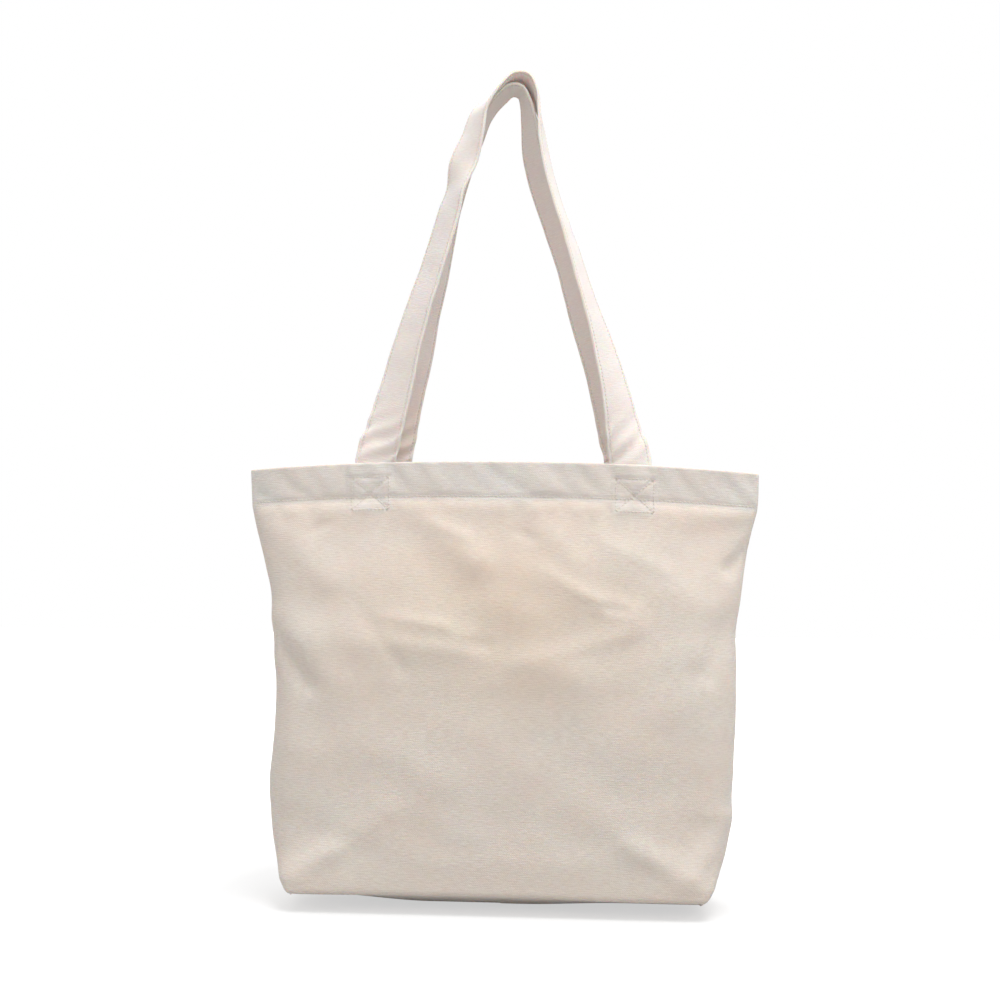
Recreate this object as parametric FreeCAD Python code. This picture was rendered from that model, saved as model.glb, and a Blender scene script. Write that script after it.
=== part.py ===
import FreeCAD, Part
import math
import os

# A canvas tote bag, standing on its flat base. Sizes in millimetres.
# X runs across the bag, the front is at minus Y, Z is up, and the origin is
# under the middle of the base.

# Cloth and cut sizes
canvas = 1.0              # thickness of the body cloth
flat_width = 448.0        # width of the bag laid flat, seam to seam
mouth_height = 378.0      # base to top edge
base_depth = 93.0         # depth of the boxed base
hem_height = 32.0         # depth of the turned hem
hem_layers = 2            # layers of cloth turned in behind the wall

# How far each side seam comes in from the flat bag, and how deep the bag stands open
mouth_inset = 5.5
mouth_open = 57.0
belly_inset = 25.5
belly_depth = 100.0
base_corner = 3.0         # how far the rounded corners let the base bow out

# Handles
strap_width = 36.0
rows_width = 36.0         # strap width that the rows of places along a handle are set for
clear_turn = 45.0         # turn at which a wider strap has moved fully clear of the other handle
strap_thick = 2.5
front_strap_x = 112.0     # middle of each sewn end, from the middle of the bag
back_strap_x = 106.0
handle_rise = 333.0       # top edge of the mouth to the middle of the front loop's strap
strap_end = 42.0          # length sewn inside the mouth
loop_gap = 6.5            # air between the two loops at the top
root_gap = 0.5            # air between a loop and the top edge it folds over
fold_gap = 0.6            # air beside the hem when a loop hangs down outside

# Seams and thread
seam_wide = 10.0          # seam allowance inside the bag
seam_thick = 2.0          # its two layers
seam_gap = 0.6            # air between the seam allowance and the walls
corner_gap = 2.5          # air between a corner seam and the end of the base
corner_share = 0.8        # share of the base's depth that a corner seam crosses
base_seam_gap = 1.0       # air between the base seam and the corner seams
thread = 0.8              # width of a line of stitches
thread_proud = 0.4        # how far thread stands out of the cloth
hem_stitch_up = 2.5       # hem stitches above the lower edge of the hem
hem_stitch_end = 1.0      # hem stitches stop this far from the middle of a side seam
edge_stitch_in = 3.0      # handle stitches in from the strap's edge
box_drop = 12.0           # top of a box of stitches below the mouth
box_tall = 27.5
box_margin = 2.0          # box of stitches in from the strap's edges

half_flat = flat_width / 2
hem_thick = hem_layers * canvas
hem_low = mouth_height - hem_height
Z_AXIS = FreeCAD.Vector(0, 0, 1)
Y_AXIS = FreeCAD.Vector(0, 1, 0)

os.makedirs("parts", exist_ok=True)


def save(shape, node):
    shape.exportStep("parts/" + node + ".step")
    box = shape.BoundBox
    print(node, len(shape.Solids), round(shape.Volume), shape.isValid(),
          [round(v, 1) for v in (box.XMin, box.YMin, box.ZMin, box.XMax, box.YMax, box.ZMax)])


# ---------------------------------------------------------------- bag section

def section_half(half_width, half_depth, power, steps=600):
    """Fine points of half a section, from the left seam round the front to the right seam."""
    points = []
    for i in range(steps + 1):
        turn = math.pi * i / steps
        across = math.cos(turn)
        deep = math.sin(turn)
        x = -math.copysign(abs(across) ** (2 / power), across) * half_width
        y = -abs(deep) ** (2 / power) * half_depth
        points.append((x, y))
    points[-1] = (half_width, 0.0)
    return points


def run_lengths(points):
    lengths = [0.0]
    for (x0, y0), (x1, y1) in zip(points, points[1:]):
        lengths.append(lengths[-1] + math.hypot(x1 - x0, y1 - y0))
    return lengths


def power_for(half_width, half_depth):
    """How square a section is, so that the cloth's girth is the same at every height."""
    low = 1.2
    high = 90.0
    while high - low > 1e-6:
        middle = (low + high) / 2
        if run_lengths(section_half(half_width, half_depth, middle))[-1] < flat_width:
            low = middle
        else:
            high = middle
    return (low + high) / 2


def level_shape(z):
    """Half width, half depth and power of the section at height z."""
    up = min(max((z - canvas) / (hem_low - canvas), 0.0), 1.0)
    base_inset = base_depth / 2
    base_deep = base_depth / 2 + base_corner
    if up < 0.26:
        share = (1 - up / 0.26) ** 2.2
        inset = belly_inset + (base_inset - belly_inset) * share
        half_depth = belly_depth / 2 + (base_deep - belly_depth / 2) * share
    elif up < 0.55:
        inset = belly_inset
        half_depth = belly_depth / 2
    else:
        inset = belly_inset + (mouth_inset - belly_inset) * ((up - 0.55) / 0.45) ** 1.3
        half_depth = belly_depth / 2 + (mouth_open - belly_depth) / 2 * ((up - 0.55) / 0.45) ** 1.6
    half_width = half_flat - inset
    return half_width, half_depth, power_for(half_width, half_depth)


def spaced_points(shape, inward, count=26):
    """Points of half a section, close together at the seams, moved in by a distance."""
    half_width, half_depth, power = shape
    fine = section_half(half_width, half_depth, power)
    lengths = run_lengths(fine)
    points = []
    shares = []
    k = 0
    for i in range(count + 1):
        share = (1 - math.cos(math.pi * i / count)) / 2
        shares.append(share)
        goal = share * lengths[-1]
        while k < len(fine) - 2 and lengths[k + 1] < goal:
            k += 1
        part = (goal - lengths[k]) / (lengths[k + 1] - lengths[k])
        x = fine[k][0] + (fine[k + 1][0] - fine[k][0]) * part
        y = fine[k][1] + (fine[k + 1][1] - fine[k][1]) * part
        slope_x = math.copysign(abs(x / half_width) ** (power - 1) / half_width, x)
        slope_y = math.copysign(abs(y / half_depth) ** (power - 1) / half_depth, y)
        size = math.hypot(slope_x, slope_y)
        points.append((x - inward * slope_x / size, y - inward * slope_y / size))
    points[0] = (inward - half_width, 0.0)
    points[-1] = (half_width - inward, 0.0)
    return points, shares


def section_edge(shape, inward, z):
    points, shares = spaced_points(shape, inward)
    speed = math.dist(points[0], points[1]) / shares[1]
    curve = Part.BSplineCurve()
    curve.interpolate(Points=[FreeCAD.Vector(x, y, z) for x, y in points],
                      Parameters=shares,
                      InitialTangent=Y_AXIS * -speed,
                      FinalTangent=Y_AXIS * speed,
                      Scale=False)
    return curve.toShape()


def ring_wire(z, outer, inner):
    """The strip between two distances in from the section at height z, front half."""
    shape = level_shape(z)
    out_edge = section_edge(shape, outer, z)
    in_edge = section_edge(shape, inner, z)
    left = Part.makeLine(in_edge.Vertexes[0].Point, out_edge.Vertexes[0].Point)
    right = Part.makeLine(out_edge.Vertexes[1].Point, in_edge.Vertexes[1].Point)
    return Part.Wire([out_edge, right, in_edge, left])


def hem_ring(outer, inner, low, high):
    """A strip of the hem between two distances in and two heights, front half."""
    wire = ring_wire(mouth_height, outer, inner)
    wire.translate(FreeCAD.Vector(0, 0, low - mouth_height))
    return Part.Face(wire).extrude(Z_AXIS * (high - low))


def to_back(shape):
    return shape.mirror(FreeCAD.Vector(0, 0, 0), Y_AXIS)


wall_levels = [canvas] + [hem_low * share for share in (0.06, 0.14, 0.26, 0.4, 0.55, 0.7, 0.85, 1.0)]


def make_panel():
    """One wall with its half of the base and the outer layer of its hem."""
    base_curve = section_edge(level_shape(canvas), 0, 0)
    base_line = Part.makeLine(base_curve.Vertexes[1].Point, base_curve.Vertexes[0].Point)
    base = Part.Face(Part.Wire([base_curve, base_line])).extrude(Z_AXIS * canvas)
    wall = Part.makeLoft([ring_wire(z, 0, canvas) for z in wall_levels], True, False)
    top = hem_ring(0, canvas, hem_low, mouth_height)
    return base.fuse([wall, top]).removeSplitter()


# ---------------------------------------------------------------- bag pieces

front_panel = make_panel()
save(front_panel, "front_panel")
save(to_back(front_panel), "back_panel")

front_hem = hem_ring(canvas, canvas + hem_thick, hem_low, mouth_height)
save(front_hem, "front_hem")
save(to_back(front_hem), "back_hem")


def side_seam():
    """Two layers of seam allowance inside the right side seam."""
    wires = []
    for z in wall_levels[1:]:
        outer = level_shape(z)[0] - canvas - seam_gap
        inner = outer - seam_wide
        corners = [(outer, -seam_thick / 2), (outer, seam_thick / 2),
                   (inner, seam_thick / 2), (inner, -seam_thick / 2)]
        points = [FreeCAD.Vector(x, y, z) for x, y in corners]
        wires.append(Part.makePolygon(points + points[:1]))
    return Part.makeLoft(wires, True, False)


def to_left(shape):
    return shape.mirror(FreeCAD.Vector(0, 0, 0), FreeCAD.Vector(1, 0, 0))


right_seam = side_seam()
save(right_seam, "side_seam_right")
save(to_left(right_seam), "side_seam_left")

base_half = level_shape(0)[0]
corner_outer = base_half - canvas - corner_gap
corner_reach = level_shape(0)[1] * corner_share
corner_seam = Part.makeBox(seam_wide, 2 * corner_reach, seam_thick,
                           FreeCAD.Vector(corner_outer - seam_wide, -corner_reach, canvas))
save(corner_seam, "corner_seam_right")
save(to_left(corner_seam), "corner_seam_left")

base_reach = corner_outer - seam_wide - base_seam_gap
base_seam = Part.makeBox(2 * base_reach, seam_wide, seam_thick,
                         FreeCAD.Vector(-base_reach, 0, canvas))
save(base_seam, "base_seam")


def slab(middle_x, low, high):
    """A block as wide as the strap, to cut one strap end out of a strip of hem."""
    return Part.makeBox(strap_width, base_depth, high - low,
                        FreeCAD.Vector(middle_x - strap_width / 2, -base_depth, low))


end_outer = canvas + hem_thick
end_inner = end_outer + strap_thick
end_low = mouth_height - strap_end
end_strip = hem_ring(end_outer, end_inner, end_low, mouth_height)


def bar(x0, z0, x1, z1):
    """A straight line of stitches in the XZ plane, as deep as the bag."""
    long = math.hypot(x1 - x0, z1 - z0)
    piece = Part.makeBox(long, base_depth, thread, FreeCAD.Vector(0, -base_depth, -thread / 2))
    piece.rotate(FreeCAD.Vector(0, 0, 0), Y_AXIS, -math.degrees(math.atan2(z1 - z0, x1 - x0)))
    piece.translate(FreeCAD.Vector(x0, 0, z0))
    return piece


def box_stitches(middle_x):
    """A square of stitches with a cross in it, through wall, hem and strap."""
    reach = strap_width / 2 - box_margin
    left = middle_x - reach
    right = middle_x + reach
    top = mouth_height - box_drop
    low = top - box_tall
    lines = [(left, low, right, low), (left, top, right, top), (left, low, left, top),
             (right, low, right, top), (left, low, right, top), (left, top, right, low)]
    pattern = bar(*lines[0]).fuse([bar(*line) for line in lines[1:]])
    strip = hem_ring(-thread_proud, end_inner + thread_proud, low - thread, top + thread)
    return strip.common(pattern).removeSplitter()


for side, sign in (("left", -1), ("right", 1)):
    piece = end_strip.common(slab(sign * front_strap_x, end_low, mouth_height))
    save(piece, "front_handle_end_" + side)
    piece = end_strip.common(slab(sign * back_strap_x, end_low, mouth_height))
    save(to_back(piece), "back_handle_end_" + side)
    save(box_stitches(sign * front_strap_x), "front_box_stitches_" + side)
    save(to_back(box_stitches(sign * back_strap_x)), "back_box_stitches_" + side)

stitch_low = hem_low + hem_stitch_up
hem_thread = hem_ring(-thread_proud, end_outer + thread_proud, stitch_low, stitch_low + thread)
seam_trim = Part.makeBox(4 * half_flat, base_depth, mouth_height,
                         FreeCAD.Vector(-2 * half_flat, -base_depth - hem_stitch_end, 0))
hem_thread = hem_thread.common(seam_trim)
save(hem_thread, "front_hem_stitches")
save(to_back(hem_thread), "back_hem_stitches")


# ---------------------------------------------------------------- handles

mouth_half, mouth_deep, mouth_power = level_shape(mouth_height)


def mouth_y(x):
    """How far the outer face of the mouth lies from the middle at x."""
    return mouth_deep * (1 - (abs(x) / mouth_half) ** mouth_power) ** (1 / mouth_power)


def mouth_turn(x):
    """Angle of the mouth's face from the X direction at x, in degrees."""
    step = 1.0
    return math.degrees(math.atan((mouth_y(abs(x) - step) - mouth_y(abs(x) + step)) / (2 * step)))


# Each row is one place along a handle, from the left sewn end to the right one:
# how far out it is as a share of its sewn end, how high as a share of the rise,
# how far forward as a share of its sewn end, and the strap's turn in degrees.
front_rows = [
    (-1.00, 0.00, 1.00, 0), (-0.93, 0.09, 0.97, 24), (-0.84, 0.19, 0.93, 36),
    (-0.745, 0.30, 0.88, 44), (-0.65, 0.42, 0.82, 50), (-0.54, 0.54, 0.76, 53),
    (-0.43, 0.66, 0.68, 54), (-0.325, 0.77, 0.60, 55), (-0.235, 0.86, 0.52, 58),
    (-0.15, 0.925, 0.46, 65), (-0.06, 0.972, 0.40, 76), (0.05, 0.998, 0.34, 86),
    (0.14, 0.997, 0.33, 90), (0.225, 0.965, 0.36, 89), (0.275, 0.91, 0.44, 86),
    (0.315, 0.84, 0.53, 82), (0.375, 0.755, 0.61, 78), (0.455, 0.66, 0.68, 75),
    (0.55, 0.54, 0.76, 72), (0.655, 0.42, 0.82, 67), (0.765, 0.30, 0.88, 60),
    (0.86, 0.19, 0.93, 50), (0.94, 0.09, 0.97, 30), (1.00, 0.00, 1.00, 0)]
back_rows = [
    (-1.00, 0.00, 1.00, 0), (-0.91, 0.09, 0.97, 26), (-0.815, 0.19, 0.93, 40),
    (-0.71, 0.30, 0.88, 50), (-0.605, 0.42, 0.82, 58), (-0.49, 0.54, 0.76, 65),
    (-0.375, 0.66, 0.68, 71), (-0.27, 0.77, 0.60, 76), (-0.17, 0.87, 0.52, 80),
    (-0.085, 0.935, 0.44, 83), (-0.005, 0.975, 0.38, 87), (0.07, 0.997, 0.34, 90),
    (0.14, 0.995, 0.34, 88), (0.195, 0.965, 0.38, 82), (0.225, 0.915, 0.45, 72),
    (0.245, 0.85, 0.53, 62), (0.30, 0.755, 0.61, 57), (0.37, 0.66, 0.68, 55),
    (0.48, 0.54, 0.76, 53), (0.59, 0.42, 0.82, 49), (0.71, 0.30, 0.88, 43),
    (0.825, 0.19, 0.93, 34), (0.925, 0.09, 0.97, 22), (1.00, 0.00, 1.00, 0)]


def handle_frames(rows, strap_x, rise, near):
    """Middle, width and thickness directions at each row; near is -1 for the front handle."""
    root_y = mouth_y(strap_x) - end_outer - strap_thick / 2
    turn_0 = mouth_turn(strap_x)
    middles = []
    for out, up, lean, turn in rows:
        aside = (strap_width - rows_width) * min(turn / clear_turn, 1.0)
        middles.append(FreeCAD.Vector(strap_x * out, near * (root_y * lean + aside),
                                      mouth_height + root_gap + (rise - root_gap) * up))
    path = Part.BSplineCurve()
    path.interpolate(Points=middles, InitialTangent=Z_AXIS, FinalTangent=-Z_AXIS)
    frames = []
    for middle, row in zip(middles, rows):
        along = path.tangent(path.parameter(middle))[0]
        inward = along.cross(Y_AXIS) * -1
        inward.normalize()
        angle = math.radians(max(row[3], turn_0))
        width = inward * math.cos(angle) + Y_AXIS * (near * math.sin(angle))
        width = width - along * width.dot(along)
        width.normalize()
        frames.append((middle, width, along.cross(width)))
    return frames


def strip_along(frames, wide_from, wide_to, thick):
    """A strip that follows the handle between two places across its width."""
    edges = []
    for wide, side in ((wide_from, -1), (wide_to, -1), (wide_to, 1), (wide_from, 1)):
        points = [middle + width * wide + face * (side * thick / 2) for middle, width, face in frames]
        curve = Part.BSplineCurve()
        curve.interpolate(Points=points, Parameters=[i / (len(frames) - 1) for i in range(len(frames))])
        edges.append(curve.toShape())
    faces = [Part.makeRuledSurface(edges[k], edges[(k + 1) % 4]) for k in range(4)]
    for end in (0, 1):
        corners = [edge.Vertexes[end].Point for edge in edges]
        faces.append(Part.Face(Part.makePolygon(corners + corners[:1])))
    shell = Part.makeShell(faces)
    shell.sewShape()
    solid = Part.makeSolid(shell)
    if solid.Volume < 0:
        solid.reverse()
    return solid


def make_handle(name, frames):
    half = strap_width / 2
    save(strip_along(frames, -half, half, strap_thick), name + "_loop")
    threads = []
    for edge in (-1, 1):
        middle = edge * (half - edge_stitch_in)
        threads.append(strip_along(frames, middle - thread / 2, middle + thread / 2,
                                   strap_thick + 2 * thread_proud))
    save(Part.makeCompound(threads), name + "_stitches")


front_frames = handle_frames(front_rows, front_strap_x, handle_rise, -1)
make_handle("front_handle", front_frames)
back_rise = handle_rise - loop_gap - strap_thick
back_frames = handle_frames(back_rows, back_strap_x, back_rise, 1)
make_handle("back_handle", back_frames)


def hinge_y(strap_x):
    """How far from the middle a strap's fold line lies, so that it clears the hem outside."""
    return mouth_y(strap_x - strap_width / 2) - (end_outer - fold_gap) / 2


print("fold lines", [round(hinge_y(x), 3) for x in (front_strap_x, back_strap_x)], "at", mouth_height)
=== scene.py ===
# %% [markdown]
# # A canvas tote bag
# We dress a measured model of a tote bag. The measured model is the frame: it says where each
# piece is and which pieces move. Here we make the cloth, the folds, the stitches and the light.
# The bag is two cuts of unbleached cotton canvas, a turned hem round the mouth and two long
# handles of folded canvas, each sewn inside the hem with a box of stitches.

# %% Load the frame and keep its box
import math

import bpy
import numpy as np
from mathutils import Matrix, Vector, noise


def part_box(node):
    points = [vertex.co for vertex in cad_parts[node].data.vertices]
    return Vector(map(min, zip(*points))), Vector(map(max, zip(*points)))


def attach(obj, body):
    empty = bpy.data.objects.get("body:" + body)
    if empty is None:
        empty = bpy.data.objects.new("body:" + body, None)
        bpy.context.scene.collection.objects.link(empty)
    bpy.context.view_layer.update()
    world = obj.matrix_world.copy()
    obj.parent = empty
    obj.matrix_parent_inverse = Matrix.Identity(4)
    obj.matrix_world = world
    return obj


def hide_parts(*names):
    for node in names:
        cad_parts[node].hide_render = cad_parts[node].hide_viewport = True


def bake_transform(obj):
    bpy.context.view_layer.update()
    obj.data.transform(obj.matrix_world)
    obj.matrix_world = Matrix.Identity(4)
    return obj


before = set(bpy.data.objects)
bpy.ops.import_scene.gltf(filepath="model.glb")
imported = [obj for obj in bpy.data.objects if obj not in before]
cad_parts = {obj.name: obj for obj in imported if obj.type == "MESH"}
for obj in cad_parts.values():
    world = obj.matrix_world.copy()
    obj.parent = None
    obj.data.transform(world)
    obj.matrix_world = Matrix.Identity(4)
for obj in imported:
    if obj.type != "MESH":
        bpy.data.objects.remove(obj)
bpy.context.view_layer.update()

# %% [markdown]
# ## Sizes
# Everything is in metres. The mouth, the hem and the handles' places are read from the frame.
# The way the cloth opens from a flat bag is the same rule that the measured model follows:
# the girth stays the same at every height, so where the sides come in, the bag grows deeper.

# %% Sizes from the frame, and the cut of the cloth
MM = 0.001
CANVAS = 1.0 * MM
FLAT_WIDTH = 448 * MM
BASE_DEPTH = 93 * MM
BASE_CORNER = 3 * MM
BELLY_INSET = 25.5 * MM
BELLY_DEPTH = 100 * MM
MOUTH_OPEN = 57 * MM
HEM_THICK = 2 * CANVAS

mouth_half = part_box("front_panel")[1].x
hem_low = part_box("front_hem")[0].z
mouth_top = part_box("front_hem")[1].z
mouth_inset = FLAT_WIDTH / 2 - mouth_half
print("mouth half width", round(mouth_half, 4))
print("hem from", round(hem_low, 4), "to", round(mouth_top, 4))

# %% [markdown]
# ## The section of the bag
# A superellipse is a rounded shape between an ellipse (power 2) and a rectangle (high power).
# For each height we know how wide and how deep the bag stands. We search for the power that
# makes the outline exactly as long as the cloth, so the cloth never stretches.

# %% The section at a height
FINE_STEPS = 900
BASE_ENDS = 0.26            # share of the wall, from below, that the boxed base still shapes
FLARE_STARTS = 0.55         # share of the wall from which it widens to the mouth
LEAST_POWER, MOST_POWER = 1.2, 90.0
HALVINGS = 30


def half_outline(half_width, half_depth, power):
    """Points of half a section, from the left seam round the front to the right seam."""
    turn = np.linspace(0, math.pi, FINE_STEPS + 1)
    across = np.cos(turn)
    deep = np.abs(np.sin(turn))
    x = -np.sign(across) * np.abs(across) ** (2 / power) * half_width
    y = -deep ** (2 / power) * half_depth
    x[-1] = half_width
    y[-1] = 0.0
    return np.stack([x, y], axis=1)


def running_length(points):
    """Length along a line of points, up to each of them."""
    steps = np.linalg.norm(np.diff(points, axis=0), axis=1)
    return np.concatenate([[0.0], np.cumsum(steps)])


def level_shape(z):
    """Half width, half depth and power of the section at height z."""
    up = min(max((z - CANVAS) / (hem_low - CANVAS), 0.0), 1.0)
    base_inset = BASE_DEPTH / 2
    base_deep = BASE_DEPTH / 2 + BASE_CORNER
    belly_deep = BELLY_DEPTH / 2
    if up < BASE_ENDS:
        share = (1 - up / BASE_ENDS) ** 2.2
        inset = BELLY_INSET + (base_inset - BELLY_INSET) * share
        half_depth = belly_deep + (base_deep - belly_deep) * share
    else:
        share = max((up - FLARE_STARTS) / (1 - FLARE_STARTS), 0.0)
        inset = BELLY_INSET + (mouth_inset - BELLY_INSET) * share ** 1.3
        half_depth = belly_deep + (MOUTH_OPEN / 2 - belly_deep) * share ** 1.6
    half_width = FLAT_WIDTH / 2 - inset
    low, high = LEAST_POWER, MOST_POWER
    for _ in range(HALVINGS):
        middle = (low + high) / 2
        if running_length(half_outline(half_width, half_depth, middle))[-1] < FLAT_WIDTH:
            low = middle
        else:
            high = middle
    return half_width, half_depth, middle


for height in (0.001, 0.09, 0.2, 0.3, 0.378):
    print("section at", height, [round(float(v), 4) for v in level_shape(height)])

# %% [markdown]
# ## Folds
# Stiff canvas doesn't hang in soft waves. It keeps broad dents, a few sharp creases where it was
# folded, and short puckers where a seam or a row of stitches pulls it in. We could paint these as
# bump, but then the outline stays smooth. Instead we push the cloth itself in and out, along
# its own outward direction. A crease is a ridge along a line, given by its two ends across and
# up the bag, its width, and its height, which is negative for a valley.

# %% Creases, dents and crumpled noise
def ridge(x, z, start, end, width, height):
    """A fold that follows a line and fades out at its ends."""
    ax, az = start
    dx, dz = end[0] - ax, end[1] - az
    along = ((x - ax) * dx + (z - az) * dz) / (dx * dx + dz * dz)
    held = np.clip(along, 0, 1)
    away = np.hypot(x - ax - held * dx, z - az - held * dz)
    fade = np.sin(math.pi * np.clip(0.5 * (0.12 + held), 0.06, 0.94)) ** 0.5
    return height * np.exp(-(away / width) ** 2) * fade


def crumple(x, y, z, size, seed):
    """Smooth random heights with features of about this size, from -1 to 1."""
    flat = [noise.noise(Vector((a / size + seed, b / size, c / size)))
            for a, b, c in zip(x.ravel(), y.ravel(), z.ravel())]
    return np.array(flat).reshape(x.shape)


def smooth(value, low, high):
    """A soft step: 0 at low, 1 at high, level at both."""
    t = np.clip((value - low) / (high - low), 0, 1)
    return t * t * (3 - 2 * t)


def curve_through(knots, values, at):
    """A smooth curve through the values, with even slopes at the ends."""
    knots = np.asarray(knots, float)
    values = np.asarray(values, float)
    slopes = np.gradient(values, knots)
    i = np.clip(np.searchsorted(knots, at, side="right") - 1, 0, len(knots) - 2)
    gap = knots[i + 1] - knots[i]
    t = (at - knots[i]) / gap
    rise = 3 * t ** 2 - 2 * t ** 3
    bend = (t ** 3 - 2 * t ** 2 + t) * slopes[i] + (t ** 3 - t ** 2) * slopes[i + 1]
    return (1 - rise) * values[i] + rise * values[i + 1] + gap * bend


FOLD_HEIGHT = 1.35            # all creases together, so they can be made deeper or flatter

# Start, end, width and height of each, in millimetres. X runs from -219 to 219 across the bag.
front_folds = [
    ((-196, 231), (-166, 192), 9, -3.4), ((-186, 246), (-150, 205), 16, 2.2),
    ((-175, 205), (-178, 95), 16, 1.6), ((216, 315), (197, 292), 8, -2.6),
    ((196, 250), (172, 205), 10, -2.0), ((172, 225), (178, 90), 14, 1.8),
    ((-182, 8), (-138, 44), 12, 2.5), ((-138, 44), (-95, 84), 17, 1.5),
    ((178, 6), (112, 58), 13, 2.5), ((112, 58), (70, 100), 19, 1.4),
    ((190, 82), (166, 26), 10, 2.2), ((-98, 322), (0, 224), 24, -2.2),
    ((-62, 330), (-20, 296), 14, 2.4), ((-178, 232), (-34, 228), 15, 2.4),
    ((-30, 222), (60, 206), 16, 1.6), ((20, 288), (112, 252), 13, 1.9),
    ((96, 300), (168, 262), 18, 2.0), ((30, 330), (64, 298), 13, 1.8),
    ((-205, 330), (-150, 282), 17, 2.0), ((-20, 190), (60, 150), 30, -1.4),
    ((-140, 170), (-60, 120), 30, 1.4), ((60, 140), (140, 165), 26, 1.4),
    ((-100, 250), (-45, 243), 5, 1.1), ((38, 290), (84, 262), 6, 1.1),
    ((70, 264), (106, 256), 4, -0.9), ((80, 316), (142, 290), 8, 1.0),
    ((-128, 263), (-81, 206), 7, -1.0), ((10, 211), (120, 240), 8, 1.0),
    ((-60, 328), (-29, 315), 5, 0.9), ((9, 321), (27, 315), 4, -0.8),
    ((-162, 321), (-149, 328), 5, -1.2), ((-90, 236), (-10, 226), 6, -1.0),
]
back_folds = [
    ((190, 240), (160, 200), 10, -3.4), ((-210, 310), (-180, 285), 9, -2.8),
    ((182, 8), (140, 46), 9, 3.0), ((-178, 6), (-118, 54), 10, 3.0),
    ((-60, 320), (60, 240), 22, -3.8), ((-160, 215), (20, 222), 17, 3.0),
    ((60, 214), (170, 230), 15, 2.6), ((-120, 120), (40, 150), 26, 2.4),
    ((70, 330), (150, 280), 15, 2.6), ((-175, 205), (-178, 95), 15, 1.6),
    ((172, 225), (176, 90), 15, 1.6), ((-90, 262), (-38, 244), 5, 1.1),
    ((44, 292), (92, 270), 6, -1.0), ((-20, 205), (70, 184), 7, 1.0),
    ((-128, 196), (-84, 160), 7, -1.0), ((96, 150), (140, 118), 8, 1.0),
]
print("creases in front", len(front_folds), "and behind", len(back_folds))

# %% [markdown]
# ## The two body cloths
# On a real tote each body cloth is one cut: it starts at the base seam, turns up at the base,
# rises as the wall, folds over the top edge and ends inside, where the hem's stitches hold it.
# We make it the same way: rows of points that follow the cloth from the base seam to the end
# of the hem inside. Each row is one section of the bag, pushed inward where the cloth
# lies inside. A Solidify modifier then gives the cloth its thickness.

# %% Rows of the cloth, from the base seam to the end of the hem
COLUMNS = 261
CROWDING = 0.35             # columns stand closer together near the side seams
WALL_STEP = 2.5 * MM
HEM_STEP = 1.5 * MM
BASE_ROUND = 5.0 * MM
FLOOR_GAP = 0.2 * MM
TOP_ROUND = HEM_THICK / 2 + 0.2 * MM
HEM_END = 1.2 * MM          # the turned cloth ends this far below the hem's lower line, inside


def cloth_rows():
    """(height, how far in, share of depth) of each row, following one cloth."""
    rows = [(FLOOR_GAP, BASE_ROUND, share) for share in np.linspace(0, 1, 20)]
    for turn in np.radians([18, 36, 54, 72]):
        rows.append((FLOOR_GAP + BASE_ROUND * (1 - math.cos(turn)),
                     BASE_ROUND * (1 - math.sin(turn)), 1.0))
    wall_start = FLOOR_GAP + BASE_ROUND
    hem_start = hem_low - 2 * MM
    rows += [(z, 0.0, 1.0) for z in np.arange(wall_start, hem_start, WALL_STEP)]
    rows += [(z, 0.0, 1.0) for z in np.arange(hem_start, mouth_top - TOP_ROUND, HEM_STEP)]
    for turn in np.radians([0, 30, 60, 90, 120, 150, 180]):
        rows.append((mouth_top - TOP_ROUND * (1 - math.sin(turn)),
                     TOP_ROUND * (1 - math.cos(turn)), 1.0))
    inside = np.arange(mouth_top - TOP_ROUND - 2 * MM, hem_low - HEM_END, -WALL_STEP)
    return rows + [(z, 2 * TOP_ROUND, 1.0) for z in inside]


ROWS = cloth_rows()
top_row = max(range(len(ROWS)), key=lambda i: ROWS[i][0])
print("rows", len(ROWS), "columns", COLUMNS)

# %% One row's points, the mouth's line and the hanging base
def section_points(z, inward):
    """Points along half a section from seam to seam, their outward ways and shares of it."""
    half_width, half_depth, power = level_shape(z)
    outline = half_outline(half_width, half_depth, power)
    lengths = running_length(outline)
    even = np.linspace(0, 1, COLUMNS)
    crowded = (1 - np.cos(math.pi * even)) / 2
    shares = even + CROWDING * (crowded - even)
    goal = shares * lengths[-1]
    x = np.interp(goal, lengths, outline[:, 0])
    y = np.interp(goal, lengths, outline[:, 1])
    slope_x = np.sign(x) * np.abs(x / half_width) ** (power - 1) / half_width
    slope_y = -np.abs(y / half_depth) ** (power - 1) / half_depth
    size = np.hypot(slope_x, slope_y)
    out = np.stack([slope_x / size, slope_y / size], axis=1)
    points = np.stack([x, y], axis=1) - out * inward
    points[0, 1] = 0.0
    points[-1, 1] = 0.0
    return points, out, shares


MOUTH_CROWN = 2.6 * MM
MOUTH_DROOP = 8.5 * MM
FRONT_RIM = 16.0 * MM       # how high the front and back rims of the base stand
LEFT_RIM, RIGHT_RIM = 12.5 * MM, 8.0 * MM
SEAM_CLEAR = 2.5 * MM       # and the base seam, in the middle of the bag


def mouth_line(x):
    """How far the top edge stands above or below the frame's at x: its corners droop."""
    return MOUTH_CROWN - MOUTH_DROOP * np.abs(x / mouth_half) ** 2.2


def rim_lift(x, y):
    """How far the lower rim stands off the ground: the base hangs like a hull from rim to rim."""
    lower_left = 1.0 * MM * smooth(-x, 60 * MM, 180 * MM)
    lower_right = 1.5 * MM * smooth(x, 20 * MM, 120 * MM)
    wall = FRONT_RIM - lower_left - lower_right
    side = np.where(x < 0, LEFT_RIM, RIGHT_RIM)
    return side + (wall - side) * np.clip(np.abs(y) / (30 * MM), 0, 1)


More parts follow.
